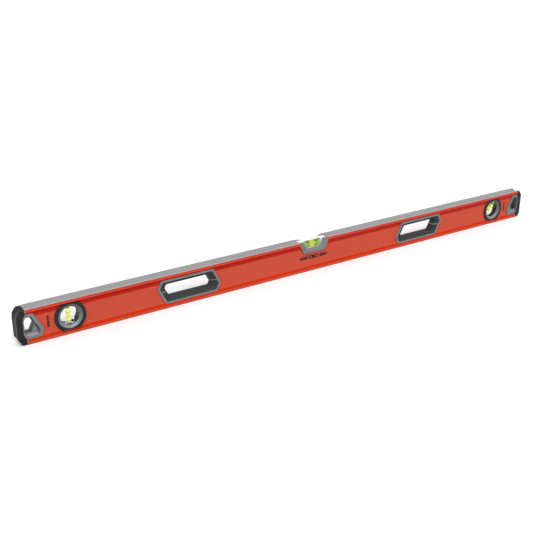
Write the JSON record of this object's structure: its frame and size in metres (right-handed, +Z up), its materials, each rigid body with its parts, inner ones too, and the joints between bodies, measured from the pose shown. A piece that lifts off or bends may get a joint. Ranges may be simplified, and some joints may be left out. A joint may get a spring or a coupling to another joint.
{
  "type": "spirit level",
  "caption": "Long box-section spirit level with a top centre vial, plumb and 45 degree end vials, framed hand holes, and end inserts with hang holes and rubber caps.",
  "frame": {"origin": "middle of the bottom measuring face", "axes": "+X along the level from the plumb vial to the 45 degree vial, front towards -Y, +Z up to the top measuring face"},
  "size_m": [1.205, 0.0256, 0.063],
  "materials": {
    "powder_coated_profile": "red powder coat with bare milled measuring faces top and bottom",
    "black_rubber": "matt moulded thermoplastic rubber",
    "grey_plastic": "satin moulded ABS",
    "black_plastic": "satin moulded ABS",
    "white_plastic": "glossy moulded ABS",
    "clear_acrylic": "polished cast acrylic",
    "yellow_liquid": "fluorescent yellow vial liquid",
    "green_liquid": "fluorescent yellow-green vial liquid",
    "air_bubble": "clear air bubble",
    "reading_line": "black reading line"
  },
  "bodies": {
    "level": {"angle_front_bezel": "grey_plastic", "angle_front_ring": "black_plastic", "angle_rear_bezel": "grey_plastic", "angle_rear_ring": "black_plastic", "angle_vial_block": "clear_acrylic", "angle_vial_fluid": "yellow_liquid", "angle_vial_lines": "reading_line", "angle_vial_mount": "grey_plastic", "angle_vial_plug": "white_plastic", "centre_cradle": "white_plastic", "centre_front_bezel": "grey_plastic", "centre_rear_bezel": "grey_plastic", "centre_vial_fluid": "green_liquid", "centre_vial_lines": "reading_line", "centre_vial_plug": "white_plastic", "centre_vial_tube": "clear_acrylic", "left_grip_front_frame": "grey_plastic", "left_grip_lower_pad": "black_rubber", "left_grip_rear_frame": "grey_plastic", "left_grip_upper_pad": "black_rubber", "plumb_front_bezel": "grey_plastic", "plumb_front_ring": "black_plastic", "plumb_rear_bezel": "grey_plastic", "plumb_rear_ring": "black_plastic", "plumb_vial_block": "clear_acrylic", "plumb_vial_fluid": "yellow_liquid", "plumb_vial_lines": "reading_line", "plumb_vial_mount": "grey_plastic", "plumb_vial_plug": "white_plastic", "profile": "powder_coated_profile", "right_grip_front_frame": "grey_plastic", "right_grip_lower_pad": "black_rubber", "right_grip_rear_frame": "grey_plastic", "right_grip_upper_pad": "black_rubber"},
    "left_end": {"left_end_insert": "grey_plastic", "left_end_cap": "black_rubber"},
    "right_end": {"right_end_insert": "grey_plastic", "right_end_cap": "black_rubber"},
    "centre_bubble": {"centre_vial_bubble": "air_bubble"},
    "plumb_bubble": {"plumb_vial_bubble": "air_bubble"},
    "angle_bubble": {"angle_vial_bubble": "air_bubble"}
  },
  "joints": [
    {"name": "centre_bubble_run", "type": "slide", "parent": "level", "child": "centre_bubble", "axis": [1, 0, 0], "range_m": [-0.009, 0.009]},
    {"name": "plumb_bubble_run", "type": "slide", "parent": "level", "child": "plumb_bubble", "axis": [0, 0, 1], "range_m": [-0.0075, 0.0075]},
    {"name": "angle_bubble_run", "type": "slide", "parent": "level", "child": "angle_bubble", "axis": [0.7071, 0, 0.7071], "range_m": [-0.0075, 0.0075]},
    {"name": "left_end_pull", "type": "slide", "parent": "level", "child": "left_end", "axis": [-1, 0, 0], "range_m": [0, 0.045]},
    {"name": "right_end_pull", "type": "slide", "parent": "level", "child": "right_end", "axis": [1, 0, 0], "range_m": [0, 0.045]}
  ]
}
